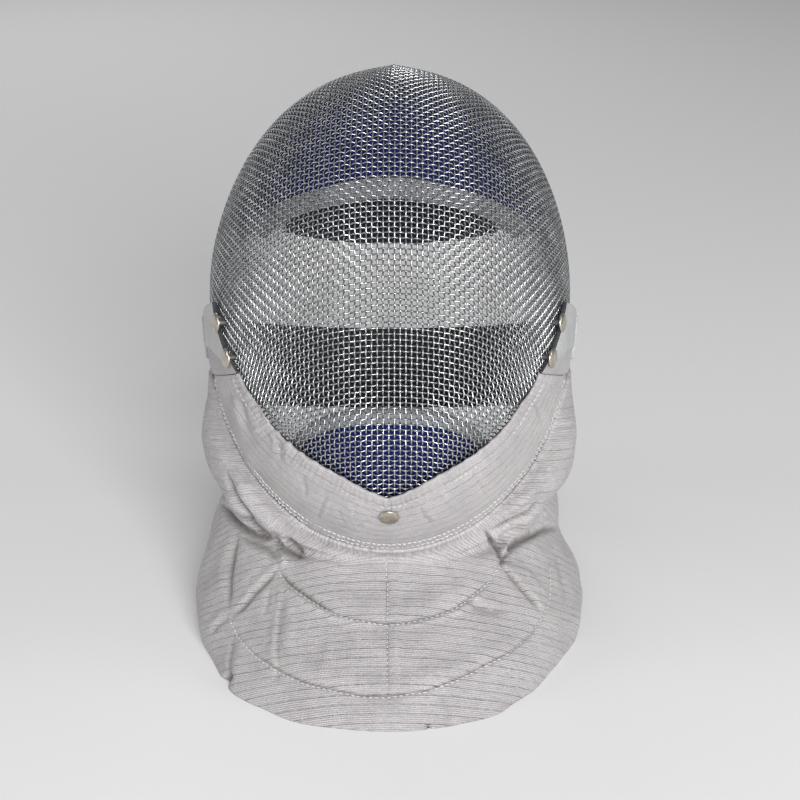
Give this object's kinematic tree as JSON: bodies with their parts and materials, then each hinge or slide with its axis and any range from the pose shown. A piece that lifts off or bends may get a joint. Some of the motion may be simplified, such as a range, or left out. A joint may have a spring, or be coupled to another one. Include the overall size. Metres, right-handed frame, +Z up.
{
  "type": "fencing mask",
  "caption": "Fencing mask standing on its bib: silver wire dome with blue padding inside, and a padded bib in silver-grey conductive cloth.",
  "frame": {"origin": "on the surface the mask stands on, under the middle of its bounding box", "axes": "+Z up as the mask stands on its bib; the face looks along -Y; +X is on the right as seen from in front"},
  "size_m": [0.207, 0.3264, 0.2857],
  "materials": {
    "wire": "round steel wire, galvanised and lightly dulled",
    "edging": "soft grey edging",
    "conductive_cloth": "silver-grey cloth with metal threads, over padding",
    "pad_cloth": "matt blue cloth over foam",
    "binding": "white woven binding tape",
    "dark_cloth": "matt dark cloth over foam",
    "elastic": "black ribbed elastic",
    "spring_steel": "sprung steel strip",
    "vinyl": "light grey vinyl with a dark cut edge",
    "nickel": "nickel-plated cap, slightly worn"
  },
  "bodies": {
    "root": {"face_mesh": "wire", "rim_trim": "edging", "bib": "conductive_cloth", "bib_band": "conductive_cloth", "forehead_pad": "pad_cloth", "forehead_binding": "binding", "chin_pad": "pad_cloth", "chin_binding": "binding", "tongue_spring": "spring_steel", "tongue_pad": "dark_cloth", "back_strap": "elastic", "side_patch_left": "vinyl", "side_patch_right": "vinyl", "side_tab_left": "vinyl", "side_tab_right": "vinyl", "left_rivet_upper": "nickel", "left_rivet_lower": "nickel", "right_rivet_upper": "nickel", "right_rivet_lower": "nickel", "chin_rivet": "nickel", "left_tongue_rivet": "nickel", "right_tongue_rivet": "nickel"}
  },
  "joints": []
}
